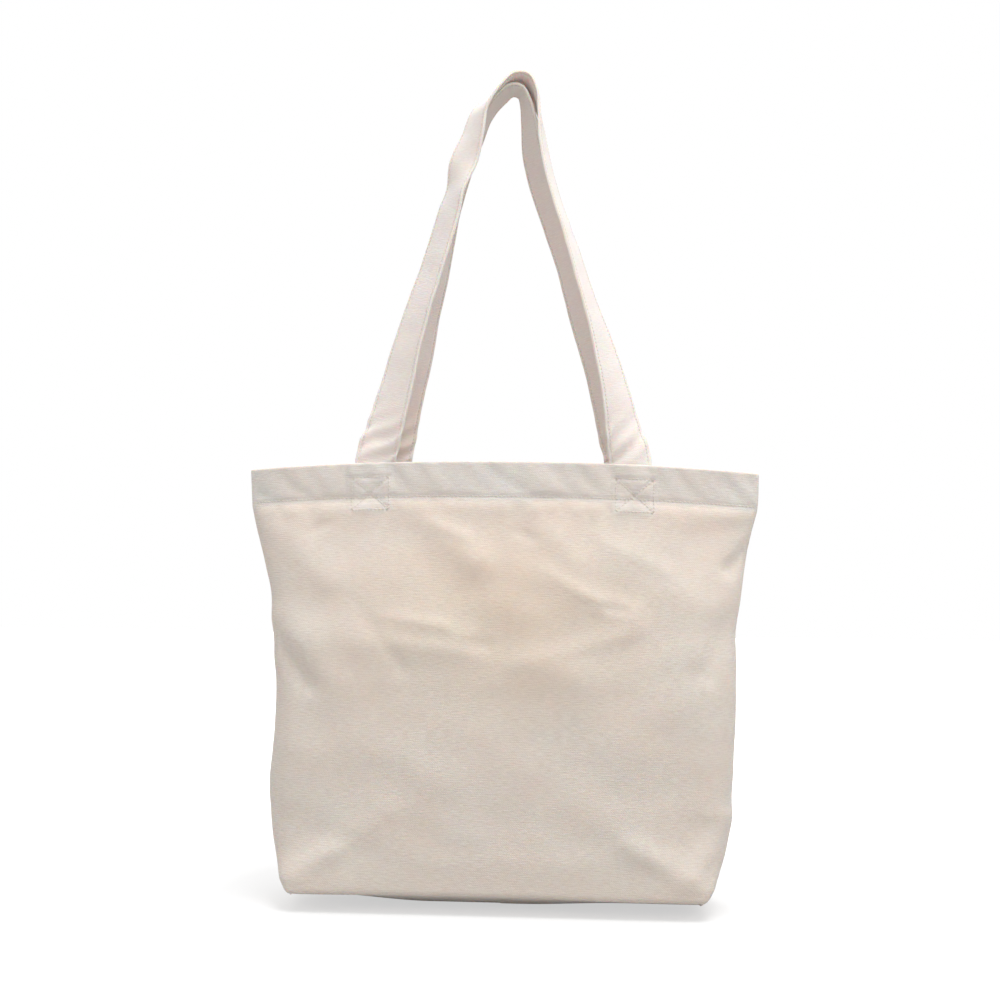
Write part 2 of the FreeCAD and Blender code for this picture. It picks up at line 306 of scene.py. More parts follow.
def seam_lift(x):
    """How far the base's middle line stands off the ground: lowest in the middle."""
    left_rise = 10.0 * MM * smooth(-x, 60 * MM, 178 * MM)
    return SEAM_CLEAR + left_rise + 4.0 * MM * smooth(x, 20 * MM, 110 * MM)


def base_hang(side, x, y, reach):
    """How far the base stands off the ground between its seam (reach 0) and its rim (reach 1)."""
    seam = seam_lift(x)
    rim = rim_lift(x, y)
    slack = 1 - smooth(np.abs(x), 115 * MM, 160 * MM)
    taut = seam + (rim - seam) * reach ** 1.4
    loose = taut if side == "front" else seam * (1 - reach) ** 4 + rim * reach ** 2.4
    return taut + (loose - taut) * slack


# %% [markdown]
# Puckers come from stitching: the thread draws the layers together, so cloth just below the
# row stands out in small uneven scallops, and each stitch leaves a dimple. The straps' sewn
# ends make a flat raised square with a cross of dimples.

# %% Where the stitches go
STITCH_UP = 2.9 * MM         # hem stitches above the hem's lower edge
BOX_DROP = 12 * MM           # a box of stitches starts this far below the mouth
BOX_TALL = 27.5 * MM
BOX_REACH = 16 * MM          # from its middle to either side
STRAP_WIDTH = 36 * MM
STRAP_END = 42 * MM          # how far the handle's sewn end goes down inside the hem


def strap_middles(side):
    """Where a handle's two sewn ends lie across the bag."""
    box_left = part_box(side + "_handle_end_left")
    box_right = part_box(side + "_handle_end_right")
    return (box_left[0].x + box_left[1].x) / 2, (box_right[0].x + box_right[1].x) / 2


def box_lines(middle):
    """The six rows of a box of stitches, as (x, z) ends."""
    left, right = middle - BOX_REACH, middle + BOX_REACH
    top = mouth_top - BOX_DROP
    low = top - BOX_TALL
    return [((left, low), (right, low)), ((right, low), (right, top)), ((right, top), (left, top)),
            ((left, top), (left, low)), ((left, low), (right, top)), ((left, top), (right, low))]


def strap_square(x, z, middle, soft):
    """1 where a sewn strap end lies under the cloth, 0 beside it, with an edge this soft."""
    beside = smooth(np.abs(x - middle), STRAP_WIDTH / 2 + soft, STRAP_WIDTH / 2 - soft)
    return beside * smooth(z, mouth_top - STRAP_END - soft, mouth_top - STRAP_END + soft)


print("strap ends at", [round(x, 4) for x in strap_middles("front") + strap_middles("back")])

# %% Push the cloth in and out
PUCKER = 1.5 * MM            # how far the cloth stands out below the hem's stitches
SCALLOP = 2.3 * MM           # and how far that comes and goes along the row
PUCKER_PEAK = 9 * MM         # from the row down to where it stands out most
PUCKER_FADE = 16 * MM
STITCH_DIMPLE = 0.7 * MM
BAND_CRUMPLE = 1.5 * MM
SQUARE_RAISED = 1.1 * MM     # how far the square over a strap's end stands out
BOX_DIMPLE = 0.85 * MM


def relief(side, x, y, z):
    """How far the cloth stands out from the plain shape."""
    seed = 3.0 if side == "front" else 41.0
    folds = front_folds if side == "front" else back_folds
    out = np.zeros_like(x)
    for start, end, width, height in folds:
        out += MM * ridge(x / MM, z / MM, start, end, width, FOLD_HEIGHT * height)
    below_hem = 1 - smooth(z, hem_low - 25 * MM, hem_low + 2 * MM)
    wall = smooth(z, 6 * MM, 45 * MM) * below_hem
    out *= smooth(z, 2 * MM, 14 * MM) * below_hem
    out += 2.6 * MM * wall * crumple(x, y, z, 95 * MM, seed)
    out += 1.1 * MM * wall * crumple(x, y, z * 1.4, 42 * MM, seed + 7)
    out += 0.30 * MM * crumple(x, y, z * 0.8, 15 * MM, seed + 11) * smooth(z, 8 * MM, 30 * MM)
    scallop = crumple(x, y * 0, z * 0.25, 13 * MM, seed + 17)
    drop = np.maximum(hem_low - 0.5 * MM - z, 0)
    bulge = np.sin(np.clip(drop / PUCKER_PEAK, 0, 1) * math.pi / 2) * np.exp(-drop / PUCKER_FADE)
    out += (PUCKER + SCALLOP * scallop) * bulge
    from_stitches = z - hem_low - STITCH_UP
    out -= STITCH_DIMPLE * np.exp(-(from_stitches / (1.6 * MM)) ** 2)
    band = smooth(z, hem_low + 3 * MM, hem_low + 9 * MM)
    lean = x + 0.7 * (z - hem_low)
    out += BAND_CRUMPLE * band * crumple(lean, y * 0, z * 0.5, 17 * MM, seed + 23)
    out += 0.8 * MM * band * crumple(x, y * 0, z, 60 * MM, seed + 29)
    for middle in strap_middles(side):
        out += SQUARE_RAISED * strap_square(x, z, middle, soft=1.5 * MM)
        for start, end in box_lines(middle):
            out += ridge(x, z, start, end, 1.5 * MM, -BOX_DIMPLE)
    return out


# %% The bag's uneven sides
# The two sides don't stand alike. Heights, and each side's shift in X, are in millimetres.
SIDE_HEIGHTS = [0, 30, 55, 81, 107, 133, 170, 210, 236, 262, 288, 320, 350, 378]
LEFT_SHIFTS = [-2.0, -1.5, -1.2, 0.2, -0.8, 2.6, 3.6, 3.0, 3.6, 6.6, 4.3, 0.6, -1.4, -2.6]
RIGHT_SHIFTS = [-2.5, -2.2, -3.2, -2.4, -2.2, -0.6, 0.9, -1.2, -5.0, -4.0, -4.2, -3.6, -0.8, -0.5]


def side_shift(x, z):
    """How far one place has moved sideways."""
    height = np.clip(z / MM, SIDE_HEIGHTS[0], SIDE_HEIGHTS[-1])
    left = curve_through(SIDE_HEIGHTS, LEFT_SHIFTS, height) * smooth(-x, 20 * MM, 200 * MM)
    right = curve_through(SIDE_HEIGHTS, RIGHT_SHIFTS, height) * smooth(x, 20 * MM, 200 * MM)
    return (left + right) * MM


print("sides shift by up to", max(map(abs, LEFT_SHIFTS + RIGHT_SHIFTS)), "mm")

# %% All of one body cloth's points
def make_body_cloth(side):
    """One body cloth as a grid of points, in the frame."""
    near = -1 if side == "front" else 1
    grid = np.zeros((len(ROWS), COLUMNS, 3))
    out = np.zeros((len(ROWS), COLUMNS, 2))
    for i, (z, inward, depth) in enumerate(ROWS):
        points, ways, shares = section_points(z, inward)
        grid[i, :, 0] = points[:, 0]
        grid[i, :, 1] = points[:, 1] * depth
        grid[i, :, 2] = z
        out[i] = ways
    x, y, z = grid[..., 0], grid[..., 1], grid[..., 2]
    push = relief(side, x, y, z)
    edge = np.minimum(shares, 1 - shares) * FLAT_WIDTH
    seam_groove = 1.1 * MM * np.exp(-(edge / (2.2 * MM)) ** 2)
    push = push * smooth(edge, 0, 14 * MM)[None, :] - seam_groove[None, :]
    walls = np.array([row[2] >= 1 and i <= top_row for i, row in enumerate(ROWS)])
    hem_inside = np.array([i > top_row for i in range(len(ROWS))])
    push[hem_inside] *= 0.9
    push[~walls & ~hem_inside] = 0
    grid[..., 0] += out[..., 0] * push
    grid[..., 1] += out[..., 1] * push
    grid[..., 2] += mouth_line(x) * smooth(z, mouth_top - 110 * MM, mouth_top - 10 * MM)
    reach = np.array([row[2] for row in ROWS])[:, None]
    grid[..., 2] += base_hang(side, x, y, reach) * (1 - smooth(z, 0, 100 * MM))
    grid[..., 0] += side_shift(x, z)
    grid[..., 1] *= -near
    return grid, shares


# %% [markdown]
# A mesh is points and the faces between them. Each point also gets its place on the flat cloth
# as a UV map in metres, so that the weave follows the threads wherever the cloth turns.

# %% A grid of points becomes a mesh
def mesh_object(name, points, faces, uv=None, smooth_faces=True):
    """A new object from points and faces, with each point's place on the flat cloth."""
    mesh = bpy.data.meshes.new(name)
    mesh.from_pydata([tuple(p) for p in points], [], [tuple(f) for f in faces])
    mesh.validate()
    if uv is not None:
        layer = mesh.uv_layers.new(name="cloth")
        corners = np.zeros(len(mesh.loops), np.int32)
        mesh.loops.foreach_get("vertex_index", corners)
        layer.data.foreach_set("uv", np.asarray(uv, np.float32)[corners].ravel())
    mesh.polygons.foreach_set("use_smooth", [smooth_faces] * len(mesh.polygons))
    obj = bpy.data.objects.new(name, mesh)
    bpy.context.scene.collection.objects.link(obj)
    return obj


def grid_faces(rows, columns, flip=False):
    """Quads over a grid of points, flipped where its outside is on the other side."""
    faces = []
    for i in range(rows - 1):
        for j in range(columns - 1):
            a = i * columns + j
            quad = (a, a + 1, a + columns + 1, a + columns)
            faces.append(quad[::-1] if flip else quad)
    return faces


def tube_faces(rings, count, first=0):
    """Quads between rings of points, and a cap on each end."""
    faces = []
    for i in range(rings - 1):
        for k in range(count):
            a = first + i * count + k
            b = first + i * count + (k + 1) % count
            faces.append((a, b, b + count, a + count))
    faces.append(tuple(first + k for k in range(count))[::-1])
    faces.append(tuple(first + (rings - 1) * count + k for k in range(count)))
    return faces


# %% The two body cloths as objects
GLOW_HEIGHT = 250 * MM      # the painted glow, which stands for light inside the bag, is strongest here
GLOW_WIDE = 110 * MM
GLOW_TALL = 75 * MM
LEAST_GLOW = 0.38


def painted_glow_through(side, x, heights):
    """Painted glow: how much of a peach tint, standing for light coming through the cloth, the colour
    gets; most in the middle of the wall, none over more layers.
    """
    below = 1 - smooth(heights, hem_low - 1.5 * MM, hem_low + 0.5 * MM)
    middle_glow = np.exp(-(x / GLOW_WIDE) ** 2 - ((heights - GLOW_HEIGHT) / GLOW_TALL) ** 2)
    through = below * (LEAST_GLOW + (1 - LEAST_GLOW) * middle_glow)
    for middle in strap_middles(side):
        through = through * (1 - strap_square(x, heights, middle, soft=1 * MM))
    return through


def body_cloth_object(side):
    """One body cloth, with its weave's map, its painted glow mask and its thickness."""
    grid, shares = make_body_cloth(side)
    steps = running_length(grid[:, COLUMNS // 2])
    uv = np.stack(np.broadcast_arrays(shares[None, :] * FLAT_WIDTH, steps[:, None]), axis=-1)
    faces = grid_faces(*grid.shape[:2], flip=side == "back")
    obj = mesh_object(side + "_cloth", grid.reshape(-1, 3), faces, uv.reshape(-1, 2))
    heights = np.array([row[0] for row in ROWS])[:, None] + 0 * grid[..., 0]
    # The painted glow mask: where it is 1 the colour gets a peach tint that stands for light coming
    # through the cloth.
    mark = obj.data.attributes.new("painted_glow_through", "FLOAT", "POINT")
    values = painted_glow_through(side, grid[..., 0], heights)
    mark.data.foreach_set("value", values.astype(np.float32).ravel())
    thick = obj.modifiers.new("cloth thickness", "SOLIDIFY")
    thick.thickness = CANVAS
    thick.offset = -1
    thick.use_even_offset = False
    print(obj.name, "cloth from base seam to hem end", round(float(steps[-1]), 4))
    return obj, grid


front_cloth, front_grid = body_cloth_object("front")
back_cloth, back_grid = body_cloth_object("back")

# %% [markdown]
# ## The handles
# Each handle is one strip of canvas: its raw edges are folded in, it's folded again, and a row of
# stitches near each edge keeps it flat. So the strip has two plies and rounded edges. Stiff
# enough to stand, it twists as it rises, because both ends are sewn flat to the mouth while the
# top wants to lie edge up. We describe the middle line and the twist at a few heights and let
# smooth curves run between them. Each row is: share of the way across, share of the rise,
# share of the way out from the middle plane, and the twist in degrees.

# %% The line and the twist of each handle
HANDLE_RISE = 331 * MM
LOOP_GAP = 4.5 * MM          # between the two handles at the top
STRAP_THICK = 2.5 * MM
ROOT_TURN = 3                # degrees of twist where a handle is sewn in
END_GAP = 1.0 * MM           # between a sewn end and the hem's inside
SPLINE_STEPS = 230
front_rows = [
    (-0.965, 0.00, 1.00, 3), (-0.90, 0.09, 0.97, 22), (-0.82, 0.19, 0.93, 33),
    (-0.74, 0.30, 0.88, 42), (-0.632, 0.42, 0.82, 49), (-0.525, 0.54, 0.76, 53),
    (-0.425, 0.65, 0.69, 55), (-0.375, 0.71, 0.64, 60), (-0.32, 0.78, 0.58, 44),
    (-0.262, 0.85, 0.51, 54), (-0.205, 0.92, 0.42, 64), (-0.03, 0.975, 0.34, 92),
    (0.075, 0.994, 0.28, 106), (0.14, 0.99, 0.26, 110), (0.205, 0.96, 0.28, 104),
    (0.25, 0.91, 0.34, 92), (0.283, 0.84, 0.45, 84), (0.332, 0.755, 0.58, 81),
    (0.415, 0.66, 0.68, 80), (0.534, 0.54, 0.76, 77), (0.646, 0.42, 0.82, 72),
    (0.757, 0.30, 0.88, 63), (0.845, 0.19, 0.93, 52), (0.912, 0.09, 0.97, 34),
    (0.965, 0.00, 1.00, 3)]
back_rows = [
    (-0.945, 0.00, 1.00, 3), (-0.895, 0.09, 0.97, 26), (-0.82, 0.19, 0.93, 40),
    (-0.73, 0.30, 0.88, 50), (-0.655, 0.42, 0.82, 58), (-0.56, 0.54, 0.76, 65),
    (-0.475, 0.66, 0.66, 71), (-0.37, 0.77, 0.52, 76), (-0.255, 0.87, 0.34, 80),
    (-0.17, 0.93, 0.20, 83), (-0.05, 0.975, 0.06, 84), (0.035, 0.995, 0.0, 84),
    (0.10, 0.992, 0.0, 80), (0.15, 0.96, 0.06, 74), (0.175, 0.915, 0.18, 66),
    (0.20, 0.85, 0.34, 60), (0.275, 0.755, 0.52, 54), (0.368, 0.66, 0.66, 54),
    (0.50, 0.54, 0.76, 53), (0.61, 0.42, 0.82, 49), (0.73, 0.30, 0.88, 43),
    (0.827, 0.19, 0.93, 34), (0.91, 0.09, 0.97, 22), (0.97, 0.00, 1.00, 3)]
print("front handle turns up to", max(row[3] for row in front_rows), "degrees")

# %% Where each handle runs
def outer_face(side, x, z):
    """The cloth's outer face at one place on the hem, relief included."""
    half_width, half_depth, power = level_shape(z)
    depth = half_depth * (1 - min(abs(x) / half_width, 1) ** power) ** (1 / power)
    push = relief(side, np.array([[x]]), np.array([[-depth]]), np.array([[z]]))[0, 0]
    return depth + push


def inside_hem(side, x, z):
    """How far from the middle plane a handle's middle line lies inside the hem."""
    return outer_face(side, x, z) - HEM_THICK - END_GAP - STRAP_THICK / 2


def between(points, lengths, at):
    """Places along a line of points, at these lengths along it."""
    return np.stack([np.interp(at, lengths, column) for column in points.T], axis=-1)


def strap_line(side):
    """Middle points, width ways, face ways and lengths along one whole handle, with its ends."""
    near = -1 if side == "front" else 1
    rows = front_rows if side == "front" else back_rows
    middle_x = strap_middles(side)[1]
    rise = HANDLE_RISE if side == "front" else HANDLE_RISE - LOOP_GAP - STRAP_THICK
    root_y = inside_hem(side, middle_x, mouth_top - 3 * MM)
    points = [(middle_x * across, near * root_y * lean, mouth_top + rise * up)
              for across, up, lean, _ in rows]
    low = []
    for share in (1.0, 0.75, 0.5, 0.25):
        z = mouth_top - STRAP_END * share
        x = middle_x * (1 - (1 + rows[0][0]) * (1 + share))
        low.append((x, near * inside_hem(side, middle_x, z), z))
    points = np.array([(-x, y, z) for x, y, z in low] + points + low[::-1])
    root_turns = [ROOT_TURN] * len(low)
    twists = root_turns + [row[3] for row in rows] + root_turns
    knots = running_length(points)
    fine = np.linspace(0, knots[-1], 1500)
    line = np.stack([curve_through(knots, points[:, k], fine) for k in range(3)], axis=1)
    twist = curve_through(knots, twists, fine)
    lengths = running_length(line)
    goal = np.linspace(0, lengths[-1], SPLINE_STEPS)
    line = between(line, lengths, goal)
    twist = np.radians(np.interp(goal, lengths, twist))
    along = np.gradient(line, axis=0)
    along /= np.linalg.norm(along, axis=1)[:, None]
    y_axis = np.array([0.0, 1.0, 0.0])
    inward = -np.cross(along, y_axis)
    inward /= np.linalg.norm(inward, axis=1)[:, None]
    width = inward * np.cos(twist)[:, None] + y_axis * near * np.sin(twist)[:, None]
    width -= along * np.sum(width * along, axis=1)[:, None]
    width /= np.linalg.norm(width, axis=1)[:, None]
    face = np.cross(along, width)
    return line, width, face, goal


# %% [markdown]
# The strip's section is a flat loop with soft edges. One edge is a doubled fold, where the two
# plies meet: it shows as a fine groove. The faces puff up a little between the stitch rows, and
# the rows sink in. Where the strap bends hard at its roots the cloth crumples across the strip.

# %% The strip's section, and how it crumples
EDGE_STITCH_IN = 3 * MM
STITCH_SUNK = 0.35 * MM
FACE_PUFF = 0.25 * MM
EDGE_GROOVE = 0.45 * MM
ROOT_CRUMPLES = {"left": 1.5 * MM, "right": 1.2 * MM}
CRUMPLE_PITCH = 2.6 * MM     # one crease to the next, divided by two pi


def strap_profile():
    """Points round the strip's section: how far across, and how far out of its middle plane."""
    half = STRAP_WIDTH / 2
    thick = STRAP_THICK / 2
    edge = np.linspace(0.72, 1, 8)
    face = np.concatenate([-edge[::-1], np.linspace(-0.66, 0.66, 12), edge])
    points = []
    for share in face:
        across = share * (half - thick)
        from_row = (abs(across) - half + EDGE_STITCH_IN) / (1.0 * MM)
        sunk = STITCH_SUNK * math.exp(-from_row ** 2)
        puff = FACE_PUFF * (1 - share ** 2)
        points.append((across, thick - sunk + puff))
    for turn in np.radians([60, 30, 12, 0, -12, -30, -60]):
        reach = thick - EDGE_GROOVE * math.exp(-(turn / 0.25) ** 2)
        points.append((half - thick + reach * math.cos(turn), thick * math.sin(turn) * 0.98))
    for across, out in points[:len(face)][::-1]:
        points.append((across, -out))
    for turn in np.radians([60, 30, 0, -30, -60]):
        points.append((-half + thick - thick * math.cos(turn), -thick * math.sin(turn)))
    return points


def crumples(side, s, across, total):
    """How far the strip's face moves out of its plane at length s: broad bends and creases."""
    seed = 3.3 if side == "front" else 31.7
    wave = 0.0
    for hand, root in (("left", STRAP_END), ("right", total - STRAP_END)):
        above_root = (s - root) * (total / 2 - s) > 0
        if above_root:
            fade = math.exp(-(max(abs(s - root) - 12 * MM, 0) / (26 * MM)) ** 2)
            slant = ((s - root) * 0.9 - across * 0.85) / CRUMPLE_PITCH
            bent = 1.2 * math.sin(across / (7 * MM))
            wave += ROOT_CRUMPLES[hand] * fade * math.sin(slant + bent)
    wave += 1.6 * MM * noise.noise(Vector((s / (60 * MM), across / (60 * MM), seed)))
    wave += 0.5 * MM * noise.noise(Vector((s / (17 * MM), across / (30 * MM), seed + 5)))
    out_of_hem = smooth(min(s, total - s), STRAP_END - 4 * MM, STRAP_END + 10 * MM)
    return wave * out_of_hem


print("points round the strip", len(strap_profile()))

# %% Make a handle as one strip of two plies
def strap_object(side):
    """One handle's strip, and the line that it follows."""
    line, width, face, goal = strap_line(side)
    profile = strap_profile()
    total = goal[-1]
    points, uv = [], []
    around = running_length(np.array(profile))
    for i in range(len(line)):
        for k, (across, out) in enumerate(profile):
            wave = crumples(side, goal[i], across, total)
            points.append(line[i] + width[i] * across + face[i] * (out + wave))
            uv.append((around[k], goal[i]))
    obj = mesh_object(side + "_strap", points, tube_faces(len(line), len(profile)), uv)
    top = max(p[2] for p in points)
    print(obj.name, "strip length", round(float(total), 4), "top at", round(top, 4))
    return obj, (line, width, face, goal)


front_strap, front_line = strap_object("front")
back_strap, back_line = strap_object("back")

# %% [markdown]
# ## Stitches
# Lockstitch thread lies on the cloth in short dashes that dip at both ends. Each dash is a
# small capsule, a little fatter in its middle. They follow the cloth's real surface: we look
# up the cloth's point at each place, so that no stitch floats and none is buried.

# %% One dash of thread, and a row of them
THREAD = 0.75 * MM
PITCH = 3.4 * MM
SHORT_PITCH = 3.2 * MM       # of the boxes and the handles' edges
STITCH_GAP = 0.26            # share of each stitch's pitch where the thread is under the cloth
# A dash's rings: share of its length, share of the thread's thickness, lift in thicknesses.
DASH_RINGS = [(0.0, 0.25, -0.35), (0.14, 0.85, 0.1), (0.5, 1.0, 0.32), (0.86, 0.85, 0.1),
              (1.0, 0.25, -0.35)]


def dash_mesh(start, end, out, points, faces, thread=THREAD):
    """Add a short capsule from start to end, on a surface whose outward way is out."""
    way = end - start
    way = way / np.linalg.norm(way)
    side = np.cross(way, out)
    side /= np.linalg.norm(side)
    out = np.cross(side, way)
    faces += tube_faces(len(DASH_RINGS), 6, first=len(points))
    for share, size, lift in DASH_RINGS:
        middle = start + (end - start) * share + out * (lift * thread)
        for turn in np.radians([0, 60, 120, 180, 240, 300]):
            spoke = side * math.cos(turn) + out * math.sin(turn)
            points.append(middle + spoke * (size * thread / 2))


def along_polyline(points, outs, pitch):
    """Cut a line on the cloth into dashes: (start, end, outward way)."""
    points, outs = np.asarray(points), np.asarray(outs)
    lengths = running_length(points)
    count = max(1, int(round(lengths[-1] / pitch)))
    step = lengths[-1] / count
    dashes = []
    for n in range(count):
        start = between(points, lengths, (n + STITCH_GAP / 2) * step)
        end = between(points, lengths, (n + 1 - STITCH_GAP / 2) * step)
        dashes.append((start, end, between(outs, lengths, (n + 0.5) * step)))
    return dashes


def stitch_object(name, dashes, thread=THREAD):
    """All the dashes of one row or box as one piece."""
    points, faces = [], []
    for start, end, out in dashes:
        dash_mesh(start, end, out, points, faces, thread)
    return mesh_object(name, points, faces)


print("stitches to 10 cm of hem", round(0.1 / PITCH))

# %% Places on the cloth's outer face
class ClothFace:
    """Looks up the cloth's outer face and its outward way from x and height."""

    def __init__(self, grid):
        outside = [i for i, row in enumerate(ROWS) if row[1] == 0.0 and i <= top_row]
        self.grid = grid[outside]
        self.heights = np.array([ROWS[i][0] for i in outside])

    def row_below(self, z):
        return int(np.clip(np.searchsorted(self.heights, z) - 1, 0, len(self.heights) - 2))

    def at_column(self, z, column):
        i = self.row_below(z)
        t = (z - self.heights[i]) / (self.heights[i + 1] - self.heights[i])
        j = int(np.clip(math.floor(column), 0, COLUMNS - 2))
        u = column - j
        a, b = self.grid[i], self.grid[i + 1]
        point = (a[j] * (1 - u) + a[j + 1] * u) * (1 - t) + (b[j] * (1 - u) + b[j + 1] * u) * t
        across = (a[j + 1] - a[j]) * (1 - t) + (b[j + 1] - b[j]) * t
        up = (b[j] - a[j]) * (1 - u) + (b[j + 1] - a[j + 1]) * u
        out = np.cross(across, up)
        out /= np.linalg.norm(out)
        if out[1] * point[1] < 0:
            out = -out
        return point, out

    def at(self, x, z):
        column = float(np.interp(x, self.grid[self.row_below(z)][:, 0], np.arange(COLUMNS)))
        return self.at_column(z, column)


faces_of = {"front": ClothFace(front_grid), "back": ClothFace(back_grid)}
print("cloth at the middle of the hem", faces_of["front"].at(0.0, hem_low + STITCH_UP)[0].round(4))

# %% Hem stitches and the strap boxes
RAISE = 0.05 * MM            # how far the thread's own middle line clears the cloth


def sewn(found, pitch):
    """Dashes through the places found, which are points with their outward ways."""
    return along_polyline([p + o * RAISE for p, o in found], [o for _, o in found], pitch)


def hem_dashes(side):
    columns = np.linspace(2.0, COLUMNS - 3.0, 400)
    return sewn([faces_of[side].at_column(hem_low + STITCH_UP, c) for c in columns], PITCH)


def box_dashes(side, middle):
    dashes = []
    for start, end in box_lines(middle):
        places = np.linspace(start, end, 24)
        dashes += sewn([faces_of[side].at(x, z) for x, z in places], SHORT_PITCH)
    return dashes


stitch_objects = {}
for side in ("front", "back"):
    stitch_objects[side + "_hem_stitches"] = stitch_object(side + "_hem_thread", hem_dashes(side))
    for end, middle in zip(("left", "right"), strap_middles(side)):
        name = side + "_box_stitches_" + end
        stitch_objects[name] = stitch_object(name + "_thread", box_dashes(side, middle))
print("stitch pieces", sorted(stitch_objects))

# %% [markdown]
# The handle's edge stitches run up both edges of the strip. They show on both faces, because
# lockstitch looks the same from either side.

# %% Edge stitches on the handles
def strap_surface(side, frames, i, across, ply):
    """A place on a handle's face and its outward way: row, distance across, which face."""
    line, width, face, goal = frames
    wave = crumples(side, goal[i], across, goal[-1])
    share = across / (STRAP_WIDTH / 2 - STRAP_THICK / 2)
    out = STRAP_THICK / 2 - STITCH_SUNK + FACE_PUFF * (1 - share ** 2)
    return line[i] + width[i] * across + face[i] * (ply * out + wave), face[i] * ply


def edge_dashes(side, frames):
    goal = frames[3]
    start = STRAP_END + 2 * MM
    rows = [i for i in range(len(goal)) if start < goal[i] < goal[-1] - start]
    dashes = []
    for edge in (-1, 1):
        for ply in (-1, 1):
            across = edge * (STRAP_WIDTH / 2 - EDGE_STITCH_IN)
            dashes += sewn([strap_surface(side, frames, i, across, ply) for i in rows], SHORT_PITCH)
    return dashes


handle_lines = {"front": front_line, "back": back_line}
for side in ("front", "back"):
    name = side + "_handle_stitches"
    stitch_objects[name] = stitch_object(name + "_thread", edge_dashes(side, handle_lines[side]))
    print(name, "faces", len(stitch_objects[name].data.polygons))

# %% [markdown]
# ## Inside seams
# A bag like this is sewn inside out and then turned, so the allowances of its side seams, base
# seam and base corners stand inside as narrow strips, their raw edges wrapped in overlock
# thread. Hardly any of it shows from outside, but it's there when someone looks in.

# %% Allowances and overlock thread
SEAM_WIDE = 10 * MM
SEAM_THICK = 2 * MM
OVERLOCK_PITCH = 2.6 * MM
OVERLOCK_THREAD = 0.6 * MM
OVERLOCK_REACH = 3.4 * MM    # how far each loop of thread reaches in from the raw edge
base_rim = section_points(FLOOR_GAP, BASE_ROUND)[0]


def base_height(x, y):
    """How high the inside of the hanging base is at one place."""
    rim_y = abs(np.interp(x, base_rim[:, 0], base_rim[:, 1]))
    share = min(abs(y) / max(rim_y, 1e-6), 1.0)
    side = "front" if y < 0 else "back"
    return float(base_hang(side, np.array(x), np.array(share * rim_y), share))


def flat_strip(name, middles, across, out):
    """A soft-edged strip along its middles, with the ways that point across it and off its face."""
    shape = [(-0.5, 0.0), (-0.46, 0.34), (-0.2, 0.5), (0.2, 0.5), (0.46, 0.34),
             (0.5, 0.0), (0.46, -0.34), (0.2, -0.5), (-0.2, -0.5), (-0.46, -0.34)]
    points, uv = [], []
    for middle, length in zip(middles, running_length(middles)):
        for a, b in shape:
            points.append(middle + across * (a * SEAM_WIDE) + out * (b * SEAM_THICK))
            uv.append((a * SEAM_WIDE, length))
    return mesh_object(name, points, tube_faces(len(middles), len(shape)), uv)


def overlock(name, edge, across, out):
    """Short bars of thread across a raw edge, on both faces. Across points off the edge."""
    lengths = running_length(edge)
    dashes = []
    for n in range(int(lengths[-1] / OVERLOCK_PITCH)):
        middle = between(edge, lengths, (n + 0.5) * OVERLOCK_PITCH)
        for face in (-1, 1):
            on_face = middle + out * (face * (SEAM_THICK / 2 - 0.1 * MM))
            ends = on_face - across * OVERLOCK_REACH, on_face - across * 0.3 * MM
            dashes.append((*ends, out * face))
    return stitch_object(name, dashes, thread=OVERLOCK_THREAD)


seam_objects = {}


def sew_allowance(node, middles, across, out, raw):
    """A seam's strip and its thread. Raw is 1 if across points to the raw edge, or -1."""
    across, out = np.array(across, float), np.array(out, float)
    strip = flat_strip(node + "_allowance", middles, across, out)
    edge = middles + across * (raw * SEAM_WIDE / 2)
    thread = overlock(node + "_overlock", edge, across * raw, out)
    seam_objects[node] = (strip, thread)


print("base stands", round(base_height(0.0, 0.0), 4), "off the ground at its middle")

# %% Side seams, corner seams and the base seam
SIDE_CLEAR = 0.9 * MM        # between a side seam's allowance and the cloth
CORNER_CLEAR = 4.0 * MM
BASE_CLEAR = 2.0 * MM
CORNER_IN = 14 * MM          # corner seams stand this far in from the frame's
CORNER_SHARE = 0.7           # and are this much shorter, as the hanging base is narrower there

for end, hand in (("left", -1), ("right", 1)):
    node = "side_seam_" + end
    low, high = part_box(node)
    heights = np.arange(low.z, high.z, 3 * MM)
    x = hand * (np.array([level_shape(z)[0] for z in heights]) - CANVAS - SIDE_CLEAR)
    x += side_shift(x, heights)
    sway = [0.8 * MM * noise.noise(Vector((z / (50 * MM), hand * 3.0, 1.0))) for z in heights]
    lift = (rim_lift(x, 0 * x) + 1.0 * MM) * (1 - smooth(heights, 0, 100 * MM))
    middles = np.stack([x - hand * SEAM_WIDE / 2, sway, heights + lift], axis=1)
    sew_allowance(node, middles, (hand, 0, 0), (0, 1, 0), raw=-1)

    node = "corner_seam_" + end
    low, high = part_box(node)
    y = np.linspace(low.y, high.y, 30) * CORNER_SHARE
    edge_x = hand * (max(abs(low.x), abs(high.x)) - CORNER_IN)
    middle_x = edge_x - hand * SEAM_WIDE / 2
    base = np.array([max(base_height(middle_x, v), base_height(edge_x, v)) for v in y])
    x = middle_x + side_shift(middle_x, 0 * y)
    middles = np.stack([x, y, base + low.z + CORNER_CLEAR], axis=1)
    sew_allowance(node, middles, (hand, 0, 0), (0, 0, 1), raw=-1)

low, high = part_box("base_seam")
along = np.linspace(low.x, high.x, 110)
base = np.array([base_height(x, high.y) for x in along])
seam_y = 0 * along + (low.y + high.y) / 2
middles = np.stack([along + side_shift(along, 0 * along), seam_y, base + low.z + BASE_CLEAR], axis=1)
sew_allowance("base_seam", middles, (0, 1, 0), (0, 0, 1), raw=1)
print("seams", sorted(seam_objects))

